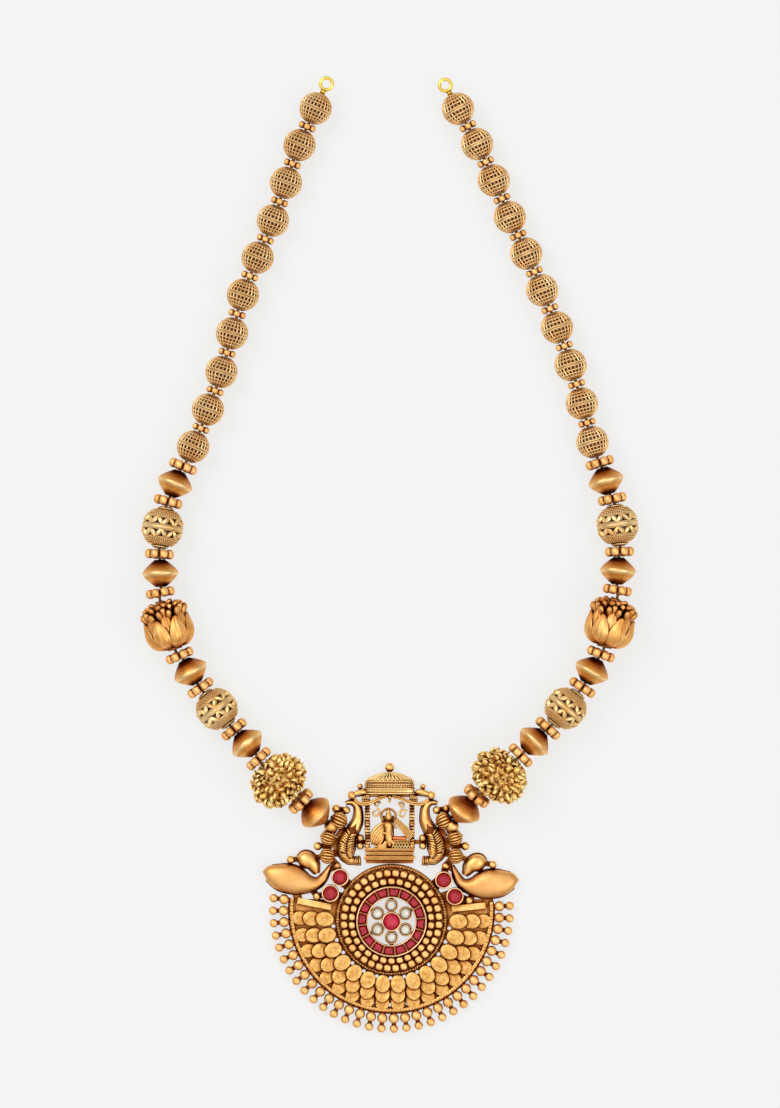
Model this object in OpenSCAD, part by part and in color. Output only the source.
/* [Strand] */
// Outer diameter of a filigree bead
filigree_d = 8.9; // [7.5:0.1:10.5]
// Wall of a filigree bead
filigree_wall = 0.7; // [0.5:0.1:1.0]
// Outer diameter of a plain bicone bead
bicone_d = 9.8; // [8:0.1:11]
// Length of a bicone bead along the thread
bicone_len = 7.3; // [6:0.1:9]
// Diameter of the flat ends of a bicone bead
bicone_end_d = 2.8; // [2.6:0.1:4]
// Outer diameter of an openwork bead
openwork_d = 11.4; // [9.5:0.1:13]
// Wall of an openwork bead
openwork_wall = 0.8; // [0.6:0.1:1.1]
// Width of a lotus bead
lotus_d = 14; // [12:0.1:16]
// Length of a lotus bead along the thread
lotus_len = 14.8; // [13:0.1:17]
// Width of a burr bead over its petal tips
burr_d = 16; // [14:0.1:18]
// Length of a burr bead along the thread
burr_len = 13; // [12:0.1:15]
// Diameter of one granule of a small spacer ring
small_granule_d = 1.8; // [1.5:0.05:2.1]
// Diameter of one granule of a large spacer ring
large_granule_d = 2.5; // [2.1:0.05:2.8]
// Diameter of the thread
thread_d = 0.8; // [0.5:0.1:1.0]
// Gap all round between the thread and a bored hole
bore_gap = 0.35; // [0.2:0.05:0.5]
// Gap along the thread between a bead and the ring beside it
bead_gap = 0.24; // [0.2:0.02:0.4]
// The same gap beside a small ring, which nests against the round beads
nested_gap = 0.04; // [0.02:0.02:0.3]

/* [Free ends] */
// Hole of the wire eyelet at each free end
eyelet_hole_d = 2.3; // [1.8:0.1:3]
// Thickness of the eyelet wire across its ring
eyelet_wire_d = 0.95; // [0.7:0.05:1.3]
// Height of the eyelet wire along the ring's own axis
eyelet_h = 1.1; // [0.8:0.1:1.6]
// Bare length of the wrapped stem between eyelet and bead
stem_len = 0.5; // [0.4:0.1:1.5]

/* [Rosette] */
// Thickness of the pierced back sheet of the pendant
sheet_t = 1.2; // [0.9:0.1:1.6]
// Outer radius of the ring of channel-set rubies
channel_r = 9.5; // [9:0.1:10.2]
// Width of the ruby channel with both its walls
channel_w = 3.1; // [2.7:0.1:3.5]
// Wall of the ruby channel and of each collet
collet_wall = 0.35; // [0.25:0.05:0.5]
// Number of rubies in the channel
ruby_count = 16; // [12:1:20]
// Diameter of the granules of the rosette
granule_d = 1.95; // [1.7:0.05:2.05]
// Number of granules in the inner row
inner_row_count = 30; // [24:1:31]
// Number of granules in the outer row
outer_row_count = 36; // [30:1:37]
// Wire diameter of the twisted ring round the rosette
rope_d = 1; // [0.8:0.05:1.4]
// How far the twisted ring sits above the rosette's centre
rope_rise = 0.4; // [0:0.05:0.45]
// Diameter of the centre ruby
centre_ruby_d = 4.3; // [3.6:0.1:4.8]
// Diameter of a white petal stone
petal_stone_d = 2.7; // [2.3:0.1:2.9]
// Gap all round between a stone and its setting
stone_gap = 0.12; // [0.1:0.01:0.2]

/* [Crescent] */
// Number of coins in the inner row of scales
coin_count = 14; // [13:1:16]
// How many more coins each row has than the row inside it
coin_count_step = 2; // [0:1:2]
// Diameter of one coin scale
coin_d = 4.9; // [4.7:0.1:5.4]
// Thickness of a coin scale
coin_t = 0.9; // [0.7:0.05:1.2]
// Clear width of the crescent at the bottom, from twisted ring to rope edge
crescent_w = 8.6; // [8.2:0.1:9.6]
// How far the crescent's own centre lies above the rosette's
crescent_rise = 2.95; // [2:0.05:3.5]
// Wire diameter of the twisted rope along the outer edge
edge_rope_d = 1.5; // [1.2:0.1:1.8]
// Diameter of the granules next to the edge rope
edge_granule_d = 2.6; // [2.2:0.05:2.8]
// Diameter of the outermost granules
tip_granule_d = 2.3; // [1.9:0.05:2.5]
// Number of granules in each outer row
edge_count = 32; // [28:1:33]

/* [Crest] */
// Length of a horn from its tail to its point
horn_len = 18.3; // [16:0.1:20]
// Height of a horn above the back sheet
horn_h = 2.8; // [2:0.1:3.6]
// How much lower the right horn is turned than the left, in degrees
horn_turn = 7; // [0:0.5:7.5]
// Height of the feathered body of a peacock above the back sheet
peacock_h = 2.4; // [1.8:0.1:3]
// Diameter of the largest ribbed melon bead
melon_d = 4.4; // [3.8:0.1:4.6]
// Diameter of the granules of the crest
crest_granule_d = 2.3; // [1.9:0.1:2.5]
// Diameter of a corner ruby
corner_ruby_d = 3.8; // [3.2:0.1:4]
// Half of the distance between the two pillars of the shrine
pillar_half = 6; // [5.6:0.1:6.4]
// Width of a pillar
pillar_w = 1.4; // [1.1:0.1:1.7]
// Height of the shrine's roof above the back sheet
roof_h = 3.2; // [2.4:0.1:4]
// Height of the shrine's pillars and base above the back sheet
shrine_h = 1.8; // [1.4:0.1:2.4]

/* [Hidden] */

// Way that the thread of each side lies, from the pendant's lug to the free end
LEFT = 0;
RIGHT = 1;
strand_routes = [
    [[-17.6, 26.9], [-20.4, 29.4], [-30.4, 38.1], [-38.6, 47.8], [-46.8, 57.1], [-54.2, 67.6],
     [-60.2, 79.9], [-62.2, 94], [-61.6, 106.4], [-58.4, 117.8], [-53.2, 128.6], [-45.8, 148.2],
     [-40, 169], [-32, 188.8], [-24.9, 209], [-17.7, 225], [-14, 233]],
    [[17.3, 27.2], [19.2, 30], [29, 39.4], [38, 48.3], [46.6, 57.2], [54, 67.8],
     [58.8, 79.9], [60.9, 94], [60.9, 106.4], [58, 118], [54.2, 129], [48.3, 149.9],
     [40.5, 170.4], [31.9, 189.8], [23.1, 209.5], [14.4, 225.2], [10, 233]]
];

// Beads of one side in order, from the pendant's lug to the free end
BICONE = 0;
BURR = 1;
OPENWORK = 2;
LOTUS = 3;
FILIGREE = 4;
bead_order = [
    BICONE, BURR, BICONE, OPENWORK, BICONE, LOTUS, BICONE, OPENWORK, BICONE,
    FILIGREE, FILIGREE, FILIGREE, FILIGREE, FILIGREE,
    FILIGREE, FILIGREE, FILIGREE, FILIGREE, FILIGREE
];
bead_count = len(bead_order);
large_ring_count = 9;
bead_half_len = [bicone_len / 2, burr_len / 2, openwork_d / 2, lotus_len / 2, filigree_d / 2];
bead_half_width = [bicone_d / 2, burr_d / 2, openwork_d / 2, lotus_d / 2, filigree_d / 2];

bore_r = thread_d / 2 + bore_gap;
cut = 1;
lug_z = 3.2;
lug_r = 1.9;
lug_stem_r = 1.1;
small_ring_r = small_granule_d * 0.95;
large_ring_r = large_granule_d * 1.16;

// Rosette and crescent radii, each worked out from the one inside it
row_gap = 0.2;
inner_row_r = channel_r + row_gap + granule_d / 2;
outer_row_r = inner_row_r + granule_d + row_gap;
rope_r = outer_row_r + granule_d / 2 + row_gap + rope_d / 2;
plate_edge = 0.1;
rosette_r = rope_r + rope_d / 2 + plate_edge;
channel_in_r = channel_r - channel_w;
plate_t = 0.8;
plate_z = sheet_t + plate_t;
channel_top = sheet_t + 2.2;
stone_floor = sheet_t + 1;
hub_r = centre_ruby_d / 2 + stone_gap + collet_wall;
petal_r = petal_stone_d / 2 + stone_gap + collet_wall;
petal_at = hub_r + petal_r - 0.1;
edge_r = rosette_r - rope_rise + crescent_rise + crescent_w;
rope_edge_r = edge_r + edge_rope_d / 2;
sheet_r = rope_edge_r + edge_rope_d / 2 - 0.1;
first_row_r = rope_edge_r + edge_rope_d / 2 + edge_granule_d / 2 + 0.1;
last_row_r = first_row_r + (edge_granule_d + tip_granule_d) / 2 + 0.35;
// How far past the half circle the granules and the rope run, on the left and on the right
edge_ends = [5.9, 2.2];
rope_ends = [7, 4.8];
edge_z = edge_granule_d / 2;

// The crest is laid out in shares of this length, which follows the rosette
crest = rosette_r / 15.1;

// Ribbed beads and granules of the crest: place, and diameter as a share of its named size
melons = [[14.2, 27.2, 1], [17.1, 22.6, 0.9], [17.3, 17.7, 0.9]];
crest_granules = [
    [14.9, 30.4, 1], [19.9, 20.3, 1], [14.6, 14.9, 0.9],
    [12.2, 30, 0.95], [10.7, 34, 1], [8.45, 22.5, 0.9], [8.45, 20.35, 0.9], [8.5, 36.4, 0.65]
];
// Granule past the scroll, and the bars under the scroll, in shares of the horn's length
outer_granule = [0.59, 0.077, 0.95];
scroll_bars = [[[0.06, 0.13], [0.36, 0.085]], [[0.36, 0.085], [0.62, 0.077]]];
corner_rubies_at = [[[13.9, 11.9], [16.5, 7.6]], [[14.1, 11.2], [17.1, 6.8]]];
// Granule beside the lower corner ruby, left and right
low_granules_at = [[20.1, 6.8], [20.9, 5.7]];
// Bars of the back sheet that join the pieces of the crest: end, end, width
crest_bars = [
    [[14.2, 27.2], [17.1, 22.6], 2.2], [[17.1, 22.6], [17.3, 17.7], 2.2],
    [[17.3, 17.7], [14.6, 14.9], 2], [[14.6, 14.9], [14.1, 11.8], 2],
    [[14.1, 11.8], [11.5, 9.5], 3], [[16.9, 7.3], [13, 6], 3],
    [[14.2, 27.2], [14.9, 30.4], 1.6],
    [[14.9, 30.4], [12.2, 30], 1.4], [[14.2, 27.2], [16.3, 25.9], 1.8],
    [[17.3, 20.3], [19.9, 20.3], 1.4], [[17.3, 20.6], [12.8, 20.6], 1.6],
    [[12.5, 21.4], [6, 21.4], 1.2], [[8.45, 20.2], [8.45, 22.6], 1.2],
    [[12.3, 25.4], [14.3, 22.5], 2.4], [[14.5, 22.6], [14.9, 17.4], 2],
    [[10.7, 34], [5, 34.6], 1.2], [[8.5, 36.4], [8.5, 34], 0.9],
    [[14.6, 14.9], [17.6, 13.3], 1.3],
    [[25, 5], [26, 9.4], 2.4]
];
shrine_x = -0.5;
eave_y = 34.4;
base_y = 16.6;

// Swept relief pieces: place along, place across, half width and height in shares
horn_tail = [16.4, 15.2];
horn_table = [
    [0, 0, 0.012, 0.25], [0.08, -0.15, 0.052, 0.45], [0.175, -0.255, 0.074, 0.6],
    [0.305, -0.28, 0.12, 0.8], [0.455, -0.25, 0.19, 0.95], [0.58, -0.21, 0.213, 1],
    [0.74, -0.175, 0.197, 0.95], [0.91, -0.115, 0.118, 0.7], [1, -0.1, 0.01, 0.2]
];
scroll_table = [
    [0.2, -0.13, 0.02, 0.25], [0.225, -0.07, 0.05, 0.5], [0.265, 0.015, 0.09, 0.7],
    [0.34, 0.075, 0.115, 0.8], [0.43, 0.1, 0.09, 0.7], [0.5, 0.105, 0.015, 0.3]
];
peacock_table = [
    [12.4, 31.75, 0.25, 0.4], [11.4, 32.1, 0.5, 0.5], [10.2, 31.95, 0.75, 0.6],
    [9.2, 30.9, 0.95, 0.65], [8.95, 29, 1.15, 0.7], [9.2, 27, 1.45, 0.75],
    [10.2, 25, 1.7, 0.85], [11.45, 23, 1.9, 1], [12.1, 20.8, 2.35, 1],
    [12.15, 18.5, 2.3, 0.95], [11.2, 16.8, 1.5, 0.75],
    [10, 16.35, 0.9, 0.65], [9.55, 16.3, 1.15, 0.75], [9.1, 16.3, 0.9, 0.65],
    [8.65, 16.35, 1.15, 0.75], [8.2, 16.4, 0.85, 0.6]
];
roof_table = [
    [0, 0, 7, 0.75], [0, 1.1, 7, 0.8], [0, 1.2, 6.8, 0.95], [0, 3.2, 6.8, 1],
    [0, 4.2, 6, 0.9], [0, 5, 4.2, 0.75], [0, 5.7, 2.2, 0.5]
];
finial_y = 7.1;
finial_r = 1.25;

gold = [0.86, 0.66, 0.36];
copper_gold = [0.78, 0.52, 0.28];
ruby = [0.72, 0.08, 0.25];

// Smooth curve through chosen points, with step points in each span
function spline_at(a, b, c, d, t) =
    0.5 * (2 * b + (c - a) * t + (2 * a - 5 * b + 4 * c - d) * t * t
    + (3 * b - a - 3 * c + d) * t * t * t);
function smooth(v, steps) = let (n = len(v)) [
    for (i = [0 : n - 2]) for (k = [0 : steps - 1])
        spline_at(v[max(i - 1, 0)], v[i], v[i + 1], v[min(i + 2, n - 1)], k / steps),
    v[n - 1]
];
function run_lengths(v) = [
    for (i = 0, s = 0; i < len(v); s = s + (i + 1 < len(v) ? norm(v[i + 1] - v[i]) : 0), i = i + 1) s
];
function unit(v) = v / norm(v);
function mirror_x(side) = side == LEFT ? -1 : 1;

// Places of the beads of one side
route_steps = 6;
routes = [for (r = strand_routes) smooth(r, route_steps)];
route_runs = [for (r = routes) run_lengths(r)];
function run_table(side, axis) = [
    for (i = [0 : len(routes[side]) - 1]) [route_runs[side][i], routes[side][i][axis]]
];
x_tables = [for (side = [LEFT, RIGHT]) run_table(side, 0)];
y_tables = [for (side = [LEFT, RIGHT]) run_table(side, 1)];
function on_route(side, s) = [lookup(s, x_tables[side]), lookup(s, y_tables[side])];
function ring_len(i) = i < large_ring_count
    ? large_granule_d + 2 * bead_gap
    : small_granule_d + 2 * nested_gap;
bead_runs = [
    for (i = 0, s = bead_gap + bead_half_len[bead_order[0]]; i < bead_count;
         s = s + (i + 1 < bead_count
                  ? bead_half_len[bead_order[i]] + ring_len(i) + bead_half_len[bead_order[i + 1]]
                  : 0), i = i + 1) s
];
function rest_z(i) =
    i < 0 ? lug_z
    : bead_order[i] != BICONE ? bead_half_width[bead_order[i]]
    : i == 0 ? bicone_d / 2 - 0.2
    : (bead_half_width[bead_order[i - 1]] + bead_half_width[bead_order[i + 1]]) / 2;
bead_places = [
    for (side = [LEFT, RIGHT]) [
        for (i = [0 : bead_count - 1]) let (p = on_route(side, bead_runs[i])) [p[0], p[1], rest_z(i)]
    ]
];
lug_mouths = [for (side = [LEFT, RIGHT]) let (p = on_route(side, 0)) [p[0], p[1], lug_z]];
function bead_axis(side, i) = let (p = bead_places[side])
    i == 0 ? unit(p[0] - lug_mouths[side])
    : i == bead_count - 1 ? unit(p[i] - p[i - 1])
    : unit(p[i + 1] - p[i - 1]);
function bead_end(side, i, way) =
    bead_places[side][i] + way * bead_half_len[bead_order[i]] * bead_axis(side, i);
function ring_place(side, i) = (bead_end(side, i, 1) + bead_end(side, i + 1, -1)) / 2;
function ring_axis(side, i) = unit(bead_axis(side, i) + bead_axis(side, i + 1));

// Free end: the stem follows the last bead, and the eyelet follows the stem
last_bead = bead_count - 1;
eyelet_out_r = eyelet_hole_d / 2 + eyelet_wire_d;
stem_r = thread_d / 2 + 0.45;
function level(v) = unit([v[0], v[1], 0]);
stem_gap = 0.2;
function last_axis(side) = bead_axis(side, last_bead);
function stem_start(side) = bead_end(side, last_bead, 1) + stem_gap * last_axis(side);
function eyelet_place(side) = stem_start(side) + (stem_len + eyelet_out_r) * level(last_axis(side));
function lug_place(side) = lug_mouths[side] - lug_r * bead_axis(side, 0);

// Points that each thread runs through: straight inside a bead, turning between two
function thread_points(side) = [
    lug_place(side) + 0.4 * bead_axis(side, 0),
    for (i = [0 : bead_count - 1]) each [bead_end(side, i, -1), bead_end(side, i, 1)],
    stem_start(side) + 0.5 * level(last_axis(side))
];

// Tube with mitred rings along points
module tube(points, r, sides) {
    n = len(points);
    runs = [for (i = [0 : n - 2]) unit(points[i + 1] - points[i])];
    axes = [for (i = [0 : n - 1]) unit(runs[max(i - 1, 0)] + runs[min(i, n - 2)])];
    corners = [
        for (i = [0 : n - 1]) let (
            across = unit(cross(axes[i], [0, 0, 1])),
            up = cross(across, axes[i])
        ) for (k = [0 : sides - 1]) let (a = 360 * k / sides)
            points[i] + r * (cos(a) * across + sin(a) * up)
    ];
    walls = [
        for (i = [0 : n - 2]) for (k = [0 : sides - 1])
            let (a = i * sides + k, b = i * sides + (k + 1) % sides)
                each [[a, b, b + sides], [a, b + sides, a + sides]]
    ];
    polyhedron(corners, concat(walls, [[for (k = [sides - 1 : -1 : 0]) k]],
        [[for (k = [0 : sides - 1]) (n - 1) * sides + k]]));
}

// Sections of a swept relief: centre, direction across, half width and height of each
function relief_sections(table, steps, inset) = let (
    t = smooth(table, steps),
    n = len(t)
) [
    for (i = [0 : n - 1]) let (
        a = t[max(i - 1, 0)],
        b = t[min(i + 1, n - 1)],
        along = unit([b[0] - a[0], b[1] - a[1]])
    ) [[t[i][0], t[i][1]], [along[1], -along[0]], max(t[i][2] - inset, 0.12), t[i][3]]
];
// Flat outline of a swept relief, drawn in by inset
module relief_outline(table, steps, inset) {
    s = relief_sections(table, steps, inset);
    n = len(s);
    polygon(concat(
        [for (i = [0 : n - 1]) s[i][0] + s[i][2] * s[i][1]],
        [for (i = [n - 1 : -1 : 0]) s[i][0] - s[i][2] * s[i][1]]
    ));
}
// Swept relief with a flat back at z = 0 and a rounded front
module relief(table, steps, height, arcs = 8) {
    s = relief_sections(table, steps, 0);
    n = len(s);
    m = arcs + 1;
    corners = [
        for (i = [0 : n - 1]) for (k = [0 : arcs])
            let (a = 180 * k / arcs, p = s[i][0] + s[i][2] * cos(a) * s[i][1])
                [p[0], p[1], (k == 0 || k == arcs) ? 0 : s[i][3] * height * pow(sin(a), 0.8)]
    ];
    walls = [
        for (i = [0 : n - 2]) for (k = [0 : m - 1])
            let (a = i * m + k, b = i * m + (k + 1) % m)
                each [[a, b + m, b], [a, a + m, b + m]]
    ];
    polyhedron(corners, concat(walls, [[for (k = [0 : m - 1]) k]],
        [[for (k = [m - 1 : -1 : 0]) (n - 1) * m + k]]));
}
function scaled(table, s, start = [0, 0]) = [
    for (row = table) [start[0] + row[0] * s, start[1] + row[1] * s, row[2] * s, row[3]]
];

// Turn the local Z axis onto an axis, at a place
module along(place, axis) {
    translate(place) rotate([0, acos(axis[2]), atan2(axis[1], axis[0])]) children();
}
module flipped(side) {
    mirror([side == LEFT ? 1 : 0, 0, 0]) children();
}
module bore(r, half) {
    translate([0, 0, -half - cut]) cylinder(h = 2 * (half + cut), r = r, $fn = 72);
}
module at_bead(side, i) {
    along(bead_places[side][i], bead_axis(side, i)) children();
}

// Hollow ball with a raised band and a collar at each pole
module filigree_bead(side, number) {
    r = filigree_d / 2;
    shell_r = r - 0.1;
    band_h = 1;
    collar_r = bore_r + 0.35;
    color(gold) at_bead(side, large_ring_count - 1 + number) difference() {
        union() {
            sphere(r = shell_r, $fn = 72);
            cylinder(h = band_h, r = r, center = true, $fn = 72);
            cylinder(h = 2 * r, r = collar_r, center = true, $fn = 72);
        }
        difference() {
            sphere(r = r - filigree_wall, $fn = 72);
            for (way = [-1, 1]) translate([0, 0, way * (r - 0.6)])
                cylinder(h = 1.2, r = collar_r, center = true, $fn = 72);
        }
        bore(bore_r, r);
    }
}

module bicone_bead(side, number) {
    r = bicone_d / 2;
    end_r = bicone_end_d / 2;
    half = bicone_len / 2;
    bands = 8;
    swell = 1.4;
    profile = [
        for (k = [-bands : bands]) let (t = abs(k) / bands)
            [end_r + (r - end_r) * (1 - pow(t, swell)), half * k / bands]
    ];
    color(copper_gold) at_bead(side, 2 * (number - 1)) difference() {
        rotate_extrude($fn = 72) polygon(concat([[0, -half]], profile, [[0, half]]));
        bore(bore_r, half);
    }
}

// Hollow ball with two rows of triangular openings
module openwork_bead(side, number) {
    r = openwork_d / 2;
    inner = r - openwork_wall;
    collar_r = r * 0.38;
    per_row = 10;
    color(gold) at_bead(side, 3 + 4 * (number - 1)) difference() {
        union() {
            sphere(r = r, $fn = 72);
            cylinder(h = 2 * r + 0.2, r = collar_r, center = true, $fn = 72);
        }
        difference() {
            sphere(r = inner, $fn = 72);
            for (way = [-1, 1]) translate([0, 0, way * r])
                cylinder(h = 2 * openwork_wall + 0.8, r = collar_r, center = true, $fn = 72);
        }
        bore(bore_r, r);
        for (way = [0, 1]) mirror([0, 0, way]) for (k = [0 : per_row - 1])
            rotate([0, -27, 360 * (k + way / 2) / per_row]) translate([inner - cut, 0, 0])
                rotate([90, 0, 90]) linear_extrude(height = openwork_wall + 2 * cut)
                    polygon(r * [[-0.2, -0.26], [0.2, -0.26], [0, 0.25]]);
    }
}

// Closed bud: two whorls of petals that swell and taper, and a crown of lobes, round a core
module lotus_bead(side) {
    r = lotus_d / 2;
    half = lotus_len / 2;
    count = 7;
    lean = 21;
    color(gold) at_bead(side, 5) difference() {
        union() {
            rotate_extrude($fn = 72) polygon([
                [0, -half], [r * 0.3, -half], [r * 0.62, -half * 0.8], [r * 0.66, -half * 0.2],
                [r * 0.5, half * 0.5], [r * 0.34, half * 0.9], [0, half * 0.9]
            ]);
            for (k = [0 : count - 1]) rotate([0, 0, 360 * k / count]) {
                translate([r * 0.62, 0, -half * 0.4]) sphere(r = r * 0.36, $fn = 72);
                translate([r * 0.6, 0, -half * 0.36]) rotate([0, lean, 0])
                    cylinder(h = half * 0.86, r1 = r * 0.355, r2 = r * 0.07, $fn = 72);
            }
            for (k = [0 : count - 1]) rotate([0, 0, 360 * (k + 0.5) / count]) {
                translate([r * 0.5, 0, -half * 0.1]) sphere(r = r * 0.3, $fn = 72);
                translate([r * 0.5, 0, -half * 0.06]) rotate([0, lean, 0])
                    cylinder(h = half * 0.8, r1 = r * 0.295, r2 = r * 0.06, $fn = 72);
            }
            for (k = [0 : count - 1]) let (lobe_h = half * (k % 2 == 0 ? 0.56 : 0.46))
                rotate([0, 0, 360 * (k + 0.2) / count]) translate([r * 0.24, 0, half * 0.4])
                    rotate([0, 9, 0]) cylinder(h = lobe_h, r1 = r * 0.17, r2 = r * 0.09, $fn = 72);
        }
        bore(bore_r + 0.1, half);
    }
}

// Ball set all over with short blunt studs, which stand for its curled petals
module burr_bead(side) {
    core_r = burr_d * 0.35;
    studs = 110;
    pole_free = cos(23);
    root_r = burr_d * 0.053;
    tip_r = burr_d * 0.03;
    color(gold) at_bead(side, 1) difference() {
        union() {
            sphere(r = core_r, $fn = 72);
            for (k = [0 : studs - 1]) let (
                up = 1 - 2 * (k + 0.5) / studs,
                reach = 1 / norm([sqrt(1 - up * up) / (burr_d / 2), up / (burr_len / 2)]),
                turn = k * 137.508
            ) if (abs(up) < pole_free)
                rotate([0, acos(up), turn]) translate([0, 0, core_r - 0.4])
                    cylinder(h = reach - core_r + 0.4, r1 = root_r, r2 = tip_r, $fn = 72);
        }
        bore(bore_r, burr_len / 2);
    }
}

// Rings of granules soldered to each other, loose on the thread
module spacer_rings(side) {
    color(gold) for (i = [0 : bead_count - 2]) let (
        large = i < large_ring_count,
        ball_r = (large ? large_granule_d : small_granule_d) / 2,
        ring_r = large ? large_ring_r : small_ring_r,
        count = large ? 8 : 6
    ) along(ring_place(side, i), ring_axis(side, i))
        union() for (k = [0 : count - 1]) rotate([0, 0, 360 * (k + 0.5) / count])
            translate([ring_r, 0, 0]) sphere(r = ball_r, $fn = 72);
}

module thread(side) {
    color("darkgoldenrod") tube(thread_points(side), thread_d / 2, 8);
}

module eyelet(side) {
    hole_r = eyelet_hole_d / 2;
    bevel = 0.25;
    dir = level(last_axis(side));
    inside = eyelet_out_r - hole_r - 0.3;
    color([0.95, 0.8, 0.25]) difference() {
        union() {
            translate(eyelet_place(side)) rotate_extrude($fn = 72) polygon([
                [hole_r, -eyelet_h / 2], [eyelet_out_r - bevel, -eyelet_h / 2],
                [eyelet_out_r, bevel - eyelet_h / 2], [eyelet_out_r, eyelet_h / 2 - bevel],
                [eyelet_out_r - bevel, eyelet_h / 2], [hole_r, eyelet_h / 2]
            ]);
            along(stem_start(side), dir) cylinder(h = stem_len + inside, r = stem_r, $fn = 72);
        }
        along(stem_start(side) - cut * dir, dir)
            cylinder(h = cut + 0.65, r = thread_d / 2 + 0.12, $fn = 72);
    }
}

// Straight bar of the back sheet, from a to b
module bar(a, b, w) {
    d = b - a;
    translate(a) rotate(atan2(d[1], d[0])) translate([0, -w / 2]) square([norm(d), w]);
}
// Angle of a coin below the level on the left, in a row of so many, and the ring's edge there
coin_rows = [for (row = [0 : 2]) coin_count + (2 - row) * coin_count_step];
function coin_down(k, count) = -2 + 182 * k / (count - 1);
function ring_edge(down) = rosette_r - rope_rise * sin(down);
function outward(down) = [-cos(down), -sin(down)];
// See-through holes between the coins, next to the twisted ring and next to the rope edge
module crescent_holes() {
    hole_r = 0.5;
    for (k = [0 : coin_rows[2] - 2]) let (down = coin_down(k + 0.5, coin_rows[2]))
        translate((ring_edge(down) + 0.65) * outward(down)) circle(r = hole_r, $fn = 72);
    for (k = [0 : coin_rows[0] - 2]) let (down = coin_down(k + 0.5, coin_rows[0]))
        translate([0, crescent_rise] + (edge_r - 0.75) * outward(down)) circle(r = hole_r, $fn = 72);
}
// Plain band that closes the crescent on each side: end next to the rosette, end next to the rope
band_starts = [for (up = [0.9, 0.45]) [rosette_r + 1.2, crescent_rise + up]];
band_ends = [for (up = [2.7, 1.35]) [rope_edge_r * 0.938, crescent_rise + up]];
band_w = 1.6;
module crest_outline(side) {
    low = low_granules_at[side];
    for (b = crest_bars) bar(crest * b[0], crest * b[1], crest * b[2]);
    for (b = [[[16.9, 7.3], low, 1.6], [low, low + [2.2, 3], 1.8]])
        bar(crest * b[0], crest * b[1], crest * b[2]);
    for (m = melons) translate(crest * [m[0], m[1]]) circle(r = 1.5, $fn = 72);
    for (g = crest_granules) translate(crest * [g[0], g[1]])
        circle(r = crest_granule_d * g[2] * 0.36, $fn = 72);
    for (c = corner_rubies_at[side]) translate(crest * c) circle(r = collet_r - 0.3, $fn = 72);
    relief_outline(scaled(peacock_table, crest), 2, 0.4);
}
module horn_turned(side) {
    flipped(side) translate(crest * horn_tail) rotate(side == RIGHT ? -horn_turn : 0) children();
}
module shrine_outline() {
    scale(crest) translate([shrine_x, 0]) {
        translate([-6.4, eave_y]) square([12.8, 2.8]);
        for (way = [-1, 1]) translate([way * pillar_half - 0.5, 18]) square([1, 17]);
        translate([-6.4, base_y - 1]) square([12.8, 3.6]);
        translate([-2.2, 19]) square([3.4, 9.5]);
        translate([-0.7, eave_y + 2]) square([1.4, finial_y - 2]);
    }
}
collet_r = corner_ruby_d / 2 + stone_gap + collet_wall;

// Pierced sheet with everything that is soldered to it
module back_frame() {
    color(gold) {
        difference() {
            union() {
                linear_extrude(height = sheet_t) difference() {
                    union() {
                        translate([0, rope_rise]) circle(r = rosette_r, $fn = 72);
                        difference() {
                            translate([0, crescent_rise]) circle(r = sheet_r, $fn = 72);
                            translate([-50, crescent_rise + 3]) square([100, 50]);
                        }
                        for (side = [LEFT, RIGHT]) flipped(side) crest_outline(side);
                        for (side = [LEFT, RIGHT]) horn_turned(side) {
                            relief_outline(scaled(horn_table, horn_len), 2, 0.6);
                            for (b = scroll_bars) bar(horn_len * b[0], horn_len * b[1], 1.5);
                        }
                        shrine_outline();
                    }
                    circle(r = channel_in_r + 0.1, $fn = 72);
                    crescent_holes();
                }
                edge_granules();
                for (side = [LEFT, RIGHT]) flipped(side) crest_balls(side);
                for (side = [LEFT, RIGHT]) horn_turned(side)
                    crest_ball(horn_len * outer_granule, crest_granule_d * outer_granule[2]);
                for (side = [LEFT, RIGHT]) lug(side);
                translate([crest * shrine_x, crest * (eave_y + finial_y), sheet_t + 0.5 * finial_r])
                    rotate([90, 0, 0]) sphere(r = finial_r, $fn = 72);
                for (side = [LEFT, RIGHT]) flipped(side) linear_extrude(height = sheet_t + 1)
                    bar(band_starts[side], band_ends[side], band_w);
                edge_rope();
            }
            for (side = [LEFT, RIGHT]) along(lug_place(side), bead_axis(side, 0))
                translate([0, 0, 0.2]) cylinder(h = lug_r + cut, r = thread_d / 2 + 0.12, $fn = 72);
            for (side = [LEFT, RIGHT]) flipped(side) for (c = corner_rubies_at[side])
                translate(concat(crest * c, stone_floor))
                    cylinder(h = 3, r = collet_r - collet_wall, $fn = 72);
        }
    }
}
// Twisted rope along the outer edge, plain here, from one end of the crescent to the other
module edge_rope() {
    translate([0, crescent_rise, sheet_t + 0.1]) rotate([0, 0, 180 - rope_ends[LEFT]])
        rotate_extrude(angle = 180 + rope_ends[LEFT] + rope_ends[RIGHT], $fn = 72)
            translate([rope_edge_r, 0]) circle(r = edge_rope_d / 2, $fn = 72);
}
module edge_granules() {
    step = (180 + edge_ends[LEFT] + edge_ends[RIGHT]) / (edge_count - 1);
    neck_r = 0.45;
    translate([0, crescent_rise, edge_z]) for (k = [0 : edge_count - 1])
        rotate([0, 0, 180 - edge_ends[LEFT] + step * k]) rotate([0, 90, 0]) {
            translate([0, 0, sheet_r - 0.6]) cylinder(h = last_row_r - sheet_r + 0.6, r = neck_r, $fn = 72);
            translate([0, 0, first_row_r]) sphere(d = edge_granule_d, $fn = 72);
            translate([0, 0, last_row_r]) sphere(d = tip_granule_d, $fn = 72);
        }
}
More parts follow.
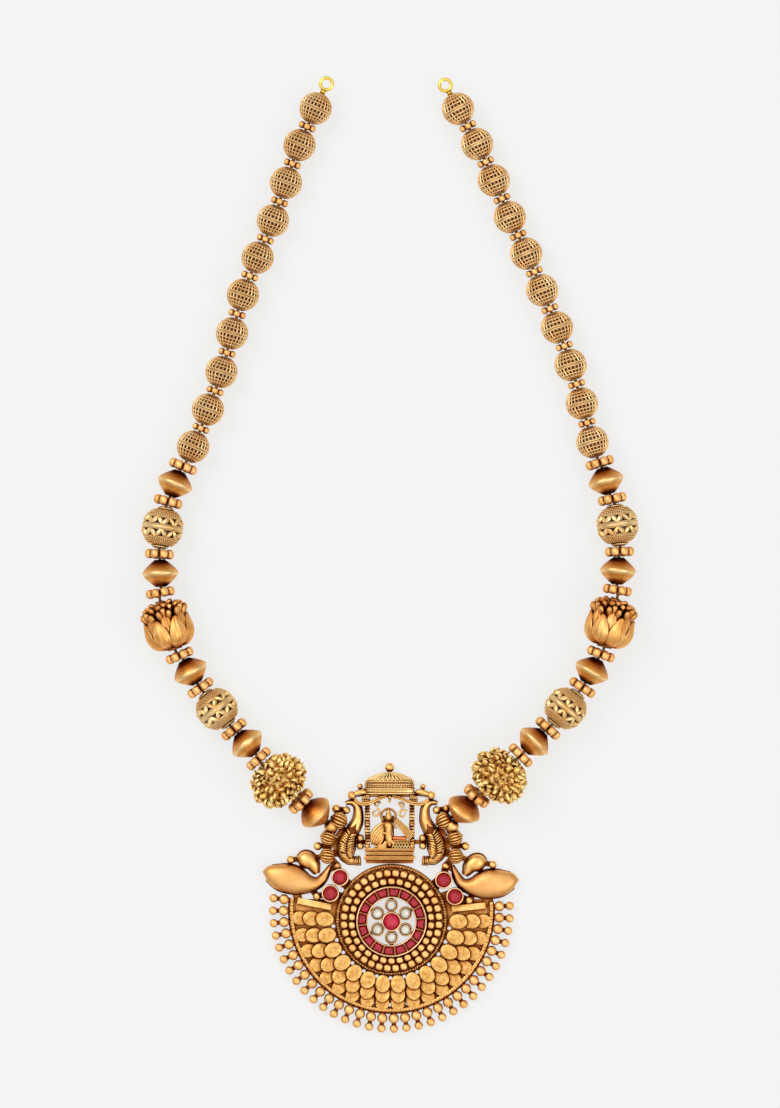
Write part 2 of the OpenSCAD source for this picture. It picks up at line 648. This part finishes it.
// Ball that is sunk into the sheet by a quarter of its diameter
module crest_ball(place, d) {
    translate([place[0], place[1], sheet_t + 0.25 * d]) sphere(d = d, $fn = 72);
}
module crest_balls(side) {
    for (m = melons) crest_ball(crest * m, melon_d * m[2]);
    for (g = crest_granules) crest_ball(crest * g, crest_granule_d * g[2]);
    crest_ball(crest * low_granules_at[side], crest_granule_d);
    for (c = corner_rubies_at[side]) translate(concat(crest * c, 0))
        cylinder(h = channel_top - 0.2, r = collet_r, $fn = 72);
}
module lug(side) {
    p = lug_place(side);
    translate([p[0], p[1], 0]) cylinder(h = p[2], r = lug_stem_r, $fn = 72);
    translate(p) sphere(r = lug_r, $fn = 72);
}

// Rows of overlapping round scales, the inner row on top
coin_shares = [0.88, 0.6, 0.28];
coin_step_z = 0.45;
function crescent_edge(down) = edge_r - crescent_rise * sin(down) - 0.1 * cos(down);
module coin(row) {
    first_z = 0.35;
    base = first_z + coin_step_z * row;
    cylinder(h = base + coin_t * 0.6, d = coin_d, $fn = 72);
    cylinder(h = base + coin_t, d = coin_d * 0.72, $fn = 72);
}
module coin_scales() {
    gap = 0.15;
    color(gold) translate([0, 0, sheet_t]) intersection() {
        difference() {
            for (row = [0 : 2]) for (k = [0 : coin_rows[row] - 1])
                let (
                    down = coin_down(k, coin_rows[row]),
                    r = ring_edge(down) + coin_shares[row] * (crescent_edge(down) - ring_edge(down))
                ) translate(r * outward(down)) rotate(down) coin(row);
            translate([0, rope_rise, -cut]) cylinder(h = 10, r = rosette_r + gap, $fn = 72);
            for (side = [LEFT, RIGHT]) flipped(side) translate([0, 0, -cut])
                linear_extrude(height = 10)
                    bar(band_starts[side] - [1, 0.2], band_ends[side] + [2, 0.5], band_w + 2 * gap);
        }
        translate([0, crescent_rise, -cut]) cylinder(h = 10, r = edge_r - gap, $fn = 72);
    }
}

// Outline of one ruby of the channel, larger or smaller by grow
ruby_turn = -4.9;
function cell_corner(r, way, bar_w) =
    let (a = way * (180 / ruby_count - asin(bar_w / 2 / r))) r * [cos(a), sin(a)];
module ruby_cell(grow) {
    inner = channel_in_r + collet_wall + stone_gap - grow;
    outer = channel_r - collet_wall - stone_gap + grow;
    bar_w = collet_wall + 2 * stone_gap - 2 * grow;
    polygon([
        cell_corner(inner, -1, bar_w), cell_corner(outer, -1, bar_w),
        cell_corner(outer, 1, bar_w), cell_corner(inner, 1, bar_w)
    ]);
}
module each_ruby() {
    for (k = [0 : ruby_count - 1]) rotate([0, 0, 90 + ruby_turn + 360 * k / ruby_count]) children();
}
module each_petal() {
    for (k = [0 : 5]) rotate([0, 0, 30 + 60 * k]) translate([petal_at, 0, 0]) children();
}
module granule_row(r, count, rise) {
    translate([0, rise, plate_z + granule_d * 0.1]) for (k = [0 : count - 1])
        rotate([0, 0, 360 * (k + 0.5) / count]) translate([r, 0, 0]) sphere(d = granule_d, $fn = 72);
}

// Two rows of granules, a twisted ring, the ruby channel and the open centre with its collets
module rosette() {
    petal_top = channel_top - 0.2;
    color(gold) difference() {
        union() {
            difference() {
                union() {
                    translate([0, rope_rise, sheet_t]) cylinder(h = plate_t, r = rope_r, $fn = 72);
                    translate([0, rope_rise, sheet_t + rope_d / 2 + 0.05]) rotate_extrude($fn = 72)
                        translate([rope_r, 0]) circle(r = rope_d / 2, $fn = 72);
                    granule_row(inner_row_r, inner_row_count, rope_rise * 0.25);
                    granule_row(outer_row_r, outer_row_count, rope_rise * 0.6);
                    translate([0, 0, sheet_t]) cylinder(h = channel_top - sheet_t, r = channel_r, $fn = 72);
                }
                translate([0, 0, -cut]) cylinder(h = channel_top + 2 * cut, r = channel_in_r, $fn = 72);
                translate([0, 0, stone_floor]) each_ruby() linear_extrude(height = 3) ruby_cell(stone_gap);
            }
            cylinder(h = channel_top, r = hub_r, $fn = 72);
            each_petal() {
                cylinder(h = petal_top, r = petal_r, $fn = 72);
                translate([0, -0.5, sheet_t]) cube([channel_in_r - petal_at + 0.2, 1, plate_t]);
            }
        }
        translate([0, 0, stone_floor]) cylinder(h = 3, r = hub_r - collet_wall, $fn = 72);
        each_petal() translate([0, 0, stone_floor]) cylinder(h = 3, r = petal_r - collet_wall, $fn = 72);
    }
}

// Cut stones: a flat table, a ring of facets round it and an upright edge
module ruby_ring() {
    girdle = 0.7;
    table_z = channel_top - stone_floor + 0.25;
    color(ruby) translate([0, 0, stone_floor]) each_ruby() hull() {
        linear_extrude(height = girdle) ruby_cell(0);
        linear_extrude(height = table_z) ruby_cell(-0.35);
    }
}
module round_stone(d, h) {
    facets = 10;
    hull() {
        cylinder(h = h * 0.55, d = d, $fn = facets);
        cylinder(h = h, d = d * 0.6, $fn = facets);
    }
}
module centre_ruby() {
    color(ruby) translate([0, 0, stone_floor]) round_stone(centre_ruby_d, 1.7);
}
module petal_stones() {
    color("white") translate([0, 0, stone_floor]) each_petal() round_stone(petal_stone_d, 1.4);
}
module corner_rubies() {
    color(ruby) for (side = [LEFT, RIGHT]) flipped(side) for (c = corner_rubies_at[side])
        translate(concat(crest * c, stone_floor)) round_stone(corner_ruby_d, 1.6);
}

module horn(side) {
    color([0.9, 0.7, 0.42]) horn_turned(side) translate([0, 0, sheet_t])
        relief(scaled(horn_table, horn_len), 2, horn_h);
}
module scroll(side) {
    color(gold) horn_turned(side) translate([0, 0, sheet_t])
        relief(scaled(scroll_table, horn_len), 2, horn_h);
}
module peacock(side) {
    color(gold) flipped(side) translate([0, 0, sheet_t])
        relief(scaled(peacock_table, crest), 2, peacock_h);
}

// Two pillars on a stepped base, a festoon under the eave, a seat and its cushion
module shrine() {
    steps = [[7, 0, 1.15, 1.15], [6.5, 1.15, 1.15, 1], [6.9, 2.3, 0.9, 0.85]];
    capital = [pillar_w / 2 + 0.1, 0.8];
    foot_y = base_y + 3.2;
    gap = 0.15;
    color(gold) translate([crest * shrine_x, 0, sheet_t]) {
        for (s = steps) translate([-crest * s[0], crest * (base_y + s[1]), 0])
            cube([2 * crest * s[0], crest * s[2], shrine_h * s[3]]);
        for (way = [-1, 1]) translate([way * crest * pillar_half, 0, 0]) {
            translate([-pillar_w / 2, crest * foot_y, 0])
                cube([pillar_w, crest * (eave_y - foot_y) - gap, shrine_h * 0.9]);
            for (y = [foot_y, 26, 31.6]) translate([-capital[0], crest * y, 0])
                cube([2 * capital[0], capital[1], shrine_h]);
        }
        translate([-crest * pillar_half, crest * (eave_y - 0.9) - gap, 0])
            cube([2 * crest * pillar_half, crest * 0.9, shrine_h * 0.6]);
        translate([crest * 0.1, crest * 33.4, 0]) cylinder(h = shrine_h * 0.8, r = crest * 1, $fn = 72);
        translate([crest * 1.5, crest * foot_y, 0]) cube([crest * 3.9, crest * 2.1, shrine_h * 0.8]);
        translate([crest * 1.7, crest * (foot_y + 2.1), 0]) cube([crest * 2.7, crest * 1, shrine_h]);
    }
}
module shrine_roof() {
    color(gold) translate([0, 0, sheet_t])
        relief(scaled(roof_table, crest, crest * [shrine_x, eave_y]), 1, roof_h, 12);
}

// Small seated figure in front of a plain halo
module lump(p, size) {
    translate(p) scale(size) sphere(r = 1, $fn = 8);
}
module limb(a, b, ra, rb) {
    hull() {
        lump(a, [ra, ra, ra]);
        lump(b, [rb, rb, rb]);
    }
}
module shrine_figure() {
    feathers = 4;
    color(gold) translate([crest * shrine_x, 0, sheet_t]) scale(crest) intersection() {
        union() {
            translate([-0.45, 28.3, 0]) cylinder(h = 0.7, r = 2.1, $fn = 20);
            lump([-0.45, 28.2, 1.3], [0.85, 1.05, 0.9]);
            limb([-0.45, 29.3, 1], [-0.45, 30, 0.8], 0.6, 0.35);
            hull() {
                lump([-0.45, 26.4, 0.9], [1.35, 0.6, 0.8]);
                lump([-0.45, 23.8, 0.9], [0.85, 0.7, 0.8]);
            }
            limb([-0.45, 27.4, 1], [-0.45, 26.6, 1], 0.45, 0.5);
            hull() {
                lump([-0.45, 23.6, 0.8], [1.2, 0.7, 0.8]);
                lump([-0.25, 20.75, 0.8], [1.45, 0.8, 0.8]);
            }
            limb([-1.6, 26.2, 0.9], [-2.1, 24.4, 1], 0.45, 0.4);
            limb([-2.1, 24.4, 1], [-0.9, 23.6, 1.4], 0.4, 0.35);
            limb([0.7, 26.2, 0.9], [1.5, 25.2, 1.1], 0.45, 0.4);
            limb([1.3, 27, 0.7], [4.2, 24.1, 0.7], 0.55, 0.65);
            for (k = [0 : feathers - 1])
                limb([-1.5, 24.9 - 0.9 * k, 0.6], [-4.2 + 0.25 * k, 22.9 - 0.8 * k, 0.5], 0.4, 0.5);
        }
        translate([-20, 0, 0]) cube([40, 60, 10]);
    }
}

back_frame();
for (i = [1 : 10]) {
    filigree_bead(LEFT, i);
    filigree_bead(RIGHT, i);
}
for (i = [1 : 5]) {
    bicone_bead(LEFT, i);
    bicone_bead(RIGHT, i);
}
for (i = [1 : 2]) {
    openwork_bead(LEFT, i);
    openwork_bead(RIGHT, i);
}
lotus_bead(LEFT);  // lotus_left
lotus_bead(RIGHT);  // lotus_right
burr_bead(LEFT);  // burr_left
burr_bead(RIGHT);  // burr_right
spacer_rings(LEFT);  // spacer_rings_left
spacer_rings(RIGHT);  // spacer_rings_right
thread(LEFT);  // thread_left
thread(RIGHT);  // thread_right
eyelet(LEFT);  // eyelet_left
eyelet(RIGHT);  // eyelet_right
coin_scales();
rosette();
ruby_ring();
centre_ruby();
petal_stones();
corner_rubies();
horn(LEFT);  // horn_left
horn(RIGHT);  // horn_right
scroll(LEFT);  // scroll_left
scroll(RIGHT);  // scroll_right
peacock(LEFT);  // peacock_left
peacock(RIGHT);  // peacock_right
shrine();
shrine_roof();
shrine_figure();
